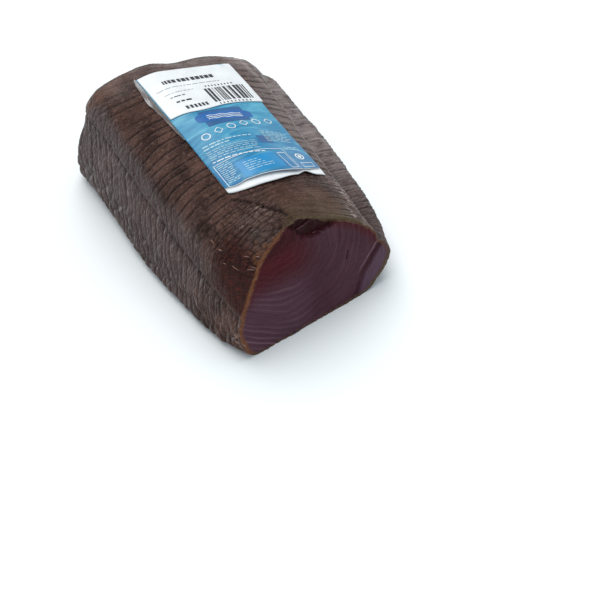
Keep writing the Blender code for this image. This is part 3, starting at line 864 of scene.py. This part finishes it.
def skin_table():
    """Heights of a sheet laid on the upper skin, over a grid in plan."""
    across = np.arange(-42.0, 42.0, 1.0)
    length = np.arange(-56.0, 73.0, 1.0)
    stations = np.arange(-76.0, 84.0, 1.5)
    rows = []
    for station in stations:
        points = section_curve(station, np.linspace(3.3, 8.9, 70))
        points = stretched(END_CORE + (points - END_CORE) * end_share(station))
        rows.append(np.interp(across, points[:, 0], points[:, 1]))
    heights = np.array(rows)
    places = along(stations[:, None], across[None], heights)
    table = [np.interp(length, places[:, i], heights[:, i]) for i in range(len(across))]
    return across, length, np.array(table)


SKIN_TABLE = skin_table()


def skin_height(across, length):
    """Height over places in plan, between the points of the table."""
    xs, ys, table = SKIN_TABLE
    fx = np.clip(across - xs[0], 0.0, len(xs) - 1.001)
    fy = np.clip(length - ys[0], 0.0, len(ys) - 1.001)
    ix, iy = fx.astype(int), fy.astype(int)
    tx, ty = fx - ix, fy - iy
    low = table[ix, iy] * (1 - ty) + table[ix, iy + 1] * ty
    high = table[ix + 1, iy] * (1 - ty) + table[ix + 1, iy + 1] * ty
    return low * (1 - tx) + high * tx


def waves(across, length):
    """Slight unevenness of sheets that lie on net marks, never below 0."""
    broad = 0.5 + 0.5 * smooth_noise(across / 16.0, length / 9.0, 91)
    small = 0.5 + 0.5 * smooth_noise(across / 5.0, length / 5.0, 92)
    return 0.30 * broad + 0.14 * small


FRONT_SHARE = 0.22


class Sheet:
    """A thin four-cornered sheet laid on the loin. Its front edge can bow forward and stand up.

    Its corners are (across, along) in the order front left, front right, back left, back right. A place on it
    is u, from left to right, and v, from front to back.
    """

    def __init__(self, corners, gap, thickness, bow=0.0, skew=1.0, lift=0.0, detail=None):
        self.corners = [np.array(corner) for corner in corners]
        self.gap, self.thickness = gap, thickness
        self.bow, self.skew, self.lift, self.detail = bow, skew, lift, detail

    def points(self, u, v, above=0.0):
        front_left, front_right, back_left, back_right = self.corners
        u, v = u[..., None], v[..., None]
        plan = (front_left * (1 - u) + front_right * u) * (1 - v) + (back_left * (1 - u) + back_right * u) * v
        u, v = np.clip(u[..., 0], 0.0, 1.0), v[..., 0]
        front = np.clip(1.0 - v / FRONT_SHARE, 0.0, 1.0)
        across = plan[..., 0]
        length = plan[..., 1] - self.bow * np.sin(np.pi * u**self.skew) * front
        lift = self.lift * (np.sin(np.pi * u) * front) ** 2
        if self.detail:
            across, length, lift = self.detail(across, length, lift, u, v)
        height = skin_height(across, length)
        slope_x = (skin_height(across + 2, length) - skin_height(across - 2, length)) / 4
        slope_y = (skin_height(across, length + 2) - skin_height(across, length - 2)) / 4
        outward = np.stack([-slope_x, -slope_y, np.ones_like(slope_x)], -1)
        outward /= np.linalg.norm(outward, axis=-1)[..., None]
        stand = self.gap + above + lift + waves(across, length)
        return np.stack([across, length, height], -1) + outward * stand[..., None]

    def build(self, name, columns, rows, material, edge_material):
        """The sheet as a mesh, with its thickness on the outer side and its own material on the edge."""
        v, u = np.meshgrid(np.linspace(0, 1, rows + 1), np.linspace(0, 1, columns + 1), indexing="ij")
        faces = grid_faces(rows + 1, columns + 1)
        made = make_object(name, self.points(u, v).reshape(-1, 3), faces, material, {"back": v})
        made.data.materials.append(edge_material)
        solid = made.modifiers.new("Thickness", "SOLIDIFY")
        solid.thickness = self.thickness * MM
        solid.offset = 1.0
        solid.material_offset_rim = 1
        return made


def card_detail(across, length, lift, u, v):
    """The card's front edge hangs lower right of its middle, and ripples."""
    front = np.clip(1.0 - v / FRONT_SHARE, 0.0, 1.0)
    length = length - (1.6 * bump(u, 0.66, 0.34) + bump(u, 0.10, 0.10)) * front
    return across, length, lift + 0.25 * np.sin(9.0 * u + 0.6) * front**2 * np.sin(np.pi * u)


def backing_detail(across, length, lift, u, v):
    """The backing is crimped right of its middle."""
    front = np.clip(1.0 - v / (0.5 * FRONT_SHARE), 0.0, 1.0)
    length = length + (2.4 * bump(u, 0.78, 0.13) - 0.8 * bump(u, 0.45, 0.2)) * front
    return across, length, lift + 0.5 * bump(u, 0.76, 0.10) * front


def sticker_detail(across, length, lift, u, v):
    """The sticker's front edge curves forward from its left end."""
    front = np.clip(1.0 - 2.0 * v, 0.0, 1.0)
    length = length + (2.4 * np.clip(1.0 - u / 0.28, 0.0, 1.0) ** 1.3 - 1.6 * bump(u, 0.34, 0.26)) * front
    notch = 0.6 * bump(u, 0.90, 0.05) * ease((v - 0.9) / 0.1)
    return across, length - 2.2 * notch, lift + notch


FILM_AT = (8.0, 17.0, 26.0, 40.0, 46.5, 55.5, 63.0, 67.0)
FILM_WIDTH = (0.2, 1.1, 1.5, 2.5, 3.3, 2.9, 1.7, 0.4)


def film_detail(across, length, lift, u, v):
    """The film runs out from the card's left edge, widest near the back, and its free edge lies on the skin."""
    front_left, _, back_left, _ = CARD.corners
    share = (length - front_left[1]) / (back_left[1] - front_left[1])
    card_edge = front_left[0] * (1.0 - share) + back_left[0] * share
    width = np.interp(length, FILM_AT, FILM_WIDTH) * (1.0 + 0.12 * smooth_noise(length / 4.0, u * 0.0, 93))
    crinkle = 0.25 * smooth_noise(length / 2.2, u * 3.0, 94) * np.sin(np.pi * u)
    return card_edge - 0.1 - width * (1.0 - u), length, lift + crinkle - 0.75 * (1.0 - u)


SHEET_GAP = 0.3
BACKING = Sheet(
    ((-32.8, -38.2), (34.2, -45.2), (-30.6, 64.5), (31.2, 56.0)), SHEET_GAP, 0.4, 6.5, 0.7, 0.8, backing_detail
)
CARD = Sheet(
    ((-32.6, -35.0), (33.2, -40.0), (-31.0, 65.0), (31.6, 56.5)), 2 * SHEET_GAP + 0.4, 0.5, 5.5, 1.0, 2.2, card_detail
)
STICKER = Sheet(
    ((-31.0, 23.5), (33.0, 21.3), (-30.6, 64.5), (31.2, 56.0)), 3 * SHEET_GAP + 0.9, 0.3, detail=sticker_detail
)
FILM = Sheet(((-34.2, 9.0), (-32.5, 9.0), (-36.0, 66.5), (-31.5, 66.5)), 2 * SHEET_GAP + 0.4, 0.3, detail=film_detail)
PRINT_GAP = 0.06

# Each ink's colour, its roughness and its slot.
INKS = {
    "dark_blue": ((0.020, 0.105, 0.27), 0.32, "print"),
    "deep_blue": ((0.012, 0.115, 0.37), 0.32, "print"),
    "bright_blue": ((0.006, 0.23, 0.50), 0.32, "print"),
    "pale_blue": ((0.42, 0.62, 0.71), 0.32, "print"),
    "white": ((0.74, 0.80, 0.84), 0.32, "print"),
    "black": ((0.035, 0.036, 0.042), 0.4, "white"),
    "grey": ((0.30, 0.31, 0.33), 0.4, "white"),
}
HEADING_WIDTHS = (0.045, 0.03, 0.04, 0.0, 0.035, 0.045, 0.03, 0.0, 0.04, 0.045, 0.035, 0.045, 0.04)


class Print:
    """Flat shapes of one colour printed on a sheet, gathered into one mesh."""

    def __init__(self, sheet, layer=1):
        self.sheet, self.above = sheet, sheet.thickness + layer * PRINT_GAP
        self.points, self.faces = [], []

    def patch(self, u, v):
        """A grid of points given by their places on the sheet."""
        rows, columns = u.shape
        start = sum(len(points) for points in self.points)
        self.points.append(self.sheet.points(u, v, self.above).reshape(-1, 3))
        self.faces += [tuple(start + k for k in face) for face in grid_faces(rows, columns)]

    def bar(self, left, right, front, back, rise=0.0):
        """A four-sided field; rise moves its right end towards the back."""
        columns = max(1, int((right - left) * 40))
        rows = max(1, int((back - front) * 50))
        v, u = np.meshgrid(np.linspace(front, back, rows + 1), np.linspace(left, right, columns + 1), indexing="ij")
        self.patch(u, v + rise * (u - left))

    def words(self, left, right, front, height, rng, rise=0.0):
        """A row of short dashes with gaps, as a line of small print looks from a distance."""
        while left < right - 0.02:
            width = min(rng.uniform(0.018, 0.075), right - left)
            self.bar(left, left + width, front, front + height, rise)
            step = width + rng.uniform(0.010, 0.016)
            left, front = left + step, front + rise * step

    def frame(self, left, right, front, back, across, along_sheet):
        self.bar(left, right, front, front + along_sheet)
        self.bar(left, right, back - along_sheet, back)
        self.bar(left, left + across, front, back)
        self.bar(right - across, right, front, back)

    def disc(self, u_middle, v_middle, u_radius, v_radius, inner=0.0, power=2.0, rise=0.0):
        """An ellipse, a ring, or with a higher power a rounded block."""
        angle = np.linspace(2.0 * np.pi, 0.0, 49)
        round_u = np.sign(np.cos(angle)) * np.abs(np.cos(angle)) ** (2.0 / power)
        round_v = np.sign(np.sin(angle)) * np.abs(np.sin(angle)) ** (2.0 / power)
        share = np.linspace(max(inner, 0.001), 1.0, 6)[:, None]
        u = u_middle + u_radius * round_u * share
        self.patch(u, v_middle + v_radius * round_v * share + rise * (u - u_middle))

    def wave(self, left, right, middle, height, swing, rise=0.0):
        """A wavy line."""
        share, side = np.meshgrid(np.linspace(0.0, 1.0, 41), (0.0, 1.0))
        u = left + (right - left) * share
        v = middle + swing * np.sin(6.0 * np.pi * share) + height * (side - 0.5) + rise * (u - left)
        self.patch(u, v)

    def finish(self, ink):
        """The mesh of all the shapes, in one ink of the table."""
        colour, roughness, slot = INKS[ink]
        material = plain_material(ink.replace("_", " ") + " ink", colour, roughness)
        attach(make_object("print_" + ink, np.concatenate(self.points), self.faces, material), slot)


def card_material():
    """Blue print, lighter towards the back, with drawn-out ripples of lighter and darker blue."""
    material, tree, shader = new_material("blue print", 0.32, 0.25)
    back = attribute(tree, "back")
    ripple = noise(tree, 60.0, 5.0, (0.5, 2.8, 1.0), 1.4)
    cloud = spread(tree, noise(tree, 34.0, 3.0, (0.6, 1.4, 1.0)), 0.4, 0.62)
    colour = mixed(tree, spread(tree, back, 0.02, 0.60), (0.008, 0.155, 0.350), (0.078, 0.345, 0.50))
    colour = mixed(tree, times(tree, cloud, 0.55), colour, (0.012, 0.180, 0.35))
    colour = mixed(tree, times(tree, spread(tree, ripple, 0.50, 0.68), 0.50), colour, (0.18, 0.48, 0.60))
    colour = mixed(tree, times(tree, spread(tree, ripple, 0.48, 0.34), 0.55), colour, (0.008, 0.120, 0.28))
    tree.links.new(colour, shader.inputs["Base Color"])
    set_bump(tree, shader, noise(tree, 260.0, 2.0), 0.12, 0.0004)
    return material


def plain_material(name, colour, roughness):
    """Paper or ink: one colour with a faint unevenness and a slightly uneven surface."""
    material, tree, shader = new_material(name, roughness, 0.4)
    darker = tuple(c * 0.76 for c in colour)
    tone = times(tree, spread(tree, noise(tree, 120.0, 4.0), 0.3, 0.7), 0.5)
    tree.links.new(mixed(tree, tone, colour, darker), shader.inputs["Base Color"])
    set_bump(tree, shader, noise(tree, 300.0, 2.0), 0.10, 0.0003)
    return material


def film_material():
    """Clear film, with whitish crinkles."""
    material, tree, shader = new_material("clear film", 0.16, 0.5)
    crinkle = noise(tree, 130.0, 2.0, (1.0, 0.30, 1.0))
    colour = mixed(tree, spread(tree, crinkle, 0.44, 0.60), (0.34, 0.31, 0.30), (0.70, 0.70, 0.70))
    tree.links.new(colour, shader.inputs["Base Color"])
    tree.links.new(spread(tree, crinkle, 0.42, 0.62, 0.25, 0.75), shader.inputs["Alpha"])
    set_bump(tree, shader, crinkle, 0.5, 0.0006)
    return material


def attach(piece, slot, *nodes):
    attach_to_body(piece, "root")
    if nodes:
        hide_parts(*nodes)


def build_label():
    paper = plain_material("white paper", (0.78, 0.80, 0.82), 0.38)
    film = film_material()
    attach(BACKING.build("backing_sheet", 90, 90, paper, paper), "white", "label_backing")
    attach(CARD.build("card_sheet", 100, 120, card_material(), paper), "print", "label_card")
    attach(STICKER.build("sticker_sheet", 80, 50, paper, paper), "white", "weight_sticker")
    attach(FILM.build("film_margin", 8, 80, film, film), "film", "label_film")
    rng = np.random.default_rng(7)
    build_blue_fields()
    build_white_print(rng)
    build_sticker_print(rng)


def build_blue_fields():
    """The fields of deeper and brighter blue on the card."""
    deep = Print(CARD)
    deep.bar(0.25, 0.70, 0.435, 0.575, 0.02)
    deep.bar(0.58, 0.72, 0.215, 0.285)
    deep.finish("dark_blue")
    badge = Print(CARD, 2)
    badge.disc(0.475, 0.512, 0.285, 0.040, power=4.0, rise=-0.03)
    badge.finish("deep_blue")
    panel = Print(CARD)
    panel.bar(0.20, 0.60, 0.012, 0.125, 0.04)
    panel.finish("bright_blue")


def build_white_print(rng):
    """White and pale blue dashes, rings and waves on the card, with no lettering."""
    white, pale = Print(CARD, 3), Print(CARD, 3)
    for k in range(3):
        white.wave(0.30, 0.65, 0.497 + 0.015 * k, 0.005, 0.003, -0.03)
    for k in range(6):
        u, v = 0.16 + 0.142 * k, 0.375 + 0.013 * k
        white.disc(u, v, 0.044, 0.025, 0.78, 1.2 if k % 2 else 2.0)
    pale.words(0.065, 0.55, 0.312, 0.008, rng, -0.04)
    pale.words(0.060, 0.33, 0.290, 0.008, rng, -0.04)
    for k in range(5):
        pale.words(0.060, rng.uniform(0.50, 0.58), 0.268 - 0.015 * k, 0.004, rng, -0.06)
    white.words(0.055, 0.57, 0.188, 0.006, rng, -0.08)
    for k in range(11):
        pale.words(0.055, rng.uniform(0.15, 0.19), 0.152 - 0.0128 * k, 0.004, rng)
    for k in range(5):
        pale.words(0.26, rng.uniform(0.40, 0.55), 0.104 - 0.015 * k, 0.004, rng, 0.03)
    for k in range(7):
        pale.words(0.665, rng.uniform(0.90, 0.97), 0.325 - 0.015 * k, 0.005, rng)
    pale.words(0.78, 0.94, 0.182, 0.005, rng)
    pale.words(0.77, 0.95, 0.165, 0.005, rng)
    pale.finish("pale_blue")
    white.frame(0.635, 0.715, 0.010, 0.135, 0.005, 0.004)
    white.frame(0.035, 0.735, -0.004, 0.168, 0.005, 0.003)
    white.disc(0.86, 0.103, 0.050, 0.026, 0.72)
    white.disc(0.86, 0.103, 0.022, 0.012)
    white.frame(0.79, 0.945, 0.012, 0.050, 0.006, 0.004)
    white.finish("white")


def build_sticker_print(rng):
    """Black and grey bars on the white sticker, with no lettering."""
    ink, grey = Print(STICKER), Print(STICKER)
    left = 0.17
    for width in HEADING_WIDTHS:
        if width:
            ink.bar(left, left + width, 0.695, 0.775)
        left += width + 0.010
    grey.words(0.06, 0.74, 0.590, 0.014, rng)
    grey.words(0.10, 0.40, 0.470, 0.012, rng)
    ink.words(0.13, 0.30, 0.380, 0.018, rng)
    ink.words(0.15, 0.31, 0.250, 0.035, rng)
    for k in range(6):
        ink.bar(0.19 + 0.040 * k, 0.19 + 0.040 * k + 0.026, 0.075, 0.150)
    for k in range(9):
        ink.bar(0.54 + 0.036 * k, 0.54 + 0.036 * k + 0.014, 0.480, 0.515)
        ink.bar(0.53 + 0.042 * k, 0.53 + 0.042 * k + 0.014, 0.020, 0.060)
    left = 0.50
    while left < 0.93:
        width = rng.choice((0.007, 0.014, 0.028))
        ink.bar(left, left + width, 0.09, 0.44)
        left += width + rng.choice((0.007, 0.012, 0.020))
    ink.finish("black")
    grey.finish("grey")


def build_floor():
    mesh = bpy.data.meshes.new("floor")
    corners = [(FLOOR_REACH * x, FLOOR_REACH * y, 0.0) for x, y in ((-1, -1), (1, -1), (1, 1), (-1, 1))]
    mesh.from_pydata(corners, [], [(0, 1, 2, 3)])
    material, _, shader = new_material("floor", 0.8, 0.2)
    shader.inputs["Base Color"].default_value = FLOOR_COLOUR
    mesh.materials.append(material)
    floor = bpy.data.objects.new("floor", mesh)
    bpy.context.scene.collection.objects.link(floor)


def build_lights():
    """A pale sky, and one wide soft light from behind the loin."""
    world = bpy.data.worlds.new("studio")
    world.use_nodes = True
    background = world.node_tree.nodes["Background"]
    background.inputs["Color"].default_value = SKY_COLOUR
    background.inputs["Strength"].default_value = SKY_STRENGTH
    bpy.context.scene.world = world
    light = bpy.data.lights.new("soft_light", "SUN")
    light.energy = LIGHT_STRENGTH
    light.angle = np.radians(LIGHT_SPREAD)
    light.color = LIGHT_COLOUR
    obj = bpy.data.objects.new("soft_light", light)
    obj.rotation_euler = (-LIGHT_FROM).to_track_quat("-Z", "Y").to_euler()
    bpy.context.scene.collection.objects.link(obj)


def build_camera():
    azimuth, elevation = np.radians(CAMERA_AZIMUTH), np.radians(CAMERA_ELEVATION)
    level = np.cos(elevation)
    back = Vector((np.sin(azimuth) * level, -np.cos(azimuth) * level, np.sin(elevation)))
    camera = bpy.data.objects.new("camera", bpy.data.cameras.new("camera"))
    camera.data.lens = CAMERA_LENS
    camera.location = CAMERA_TARGET + back * CAMERA_DISTANCE
    camera.rotation_euler = (-back).to_track_quat("-Z", "Y").to_euler()
    bpy.context.scene.collection.objects.link(camera)
    bpy.context.scene.camera = camera


upper_skin, under_skin, rim, places_round = build_skin(skin_material())
attach(upper_skin, "meat", "loin")
attach(under_skin, "meat")
attach(build_cut(rim, places_round, flesh_material()), "meat")
attach(build_strands(), "meat")
build_label()
build_floor()
build_lights()
build_camera()
bpy.context.scene.view_settings.view_transform = "Standard"

bpy.context.view_layer.update()
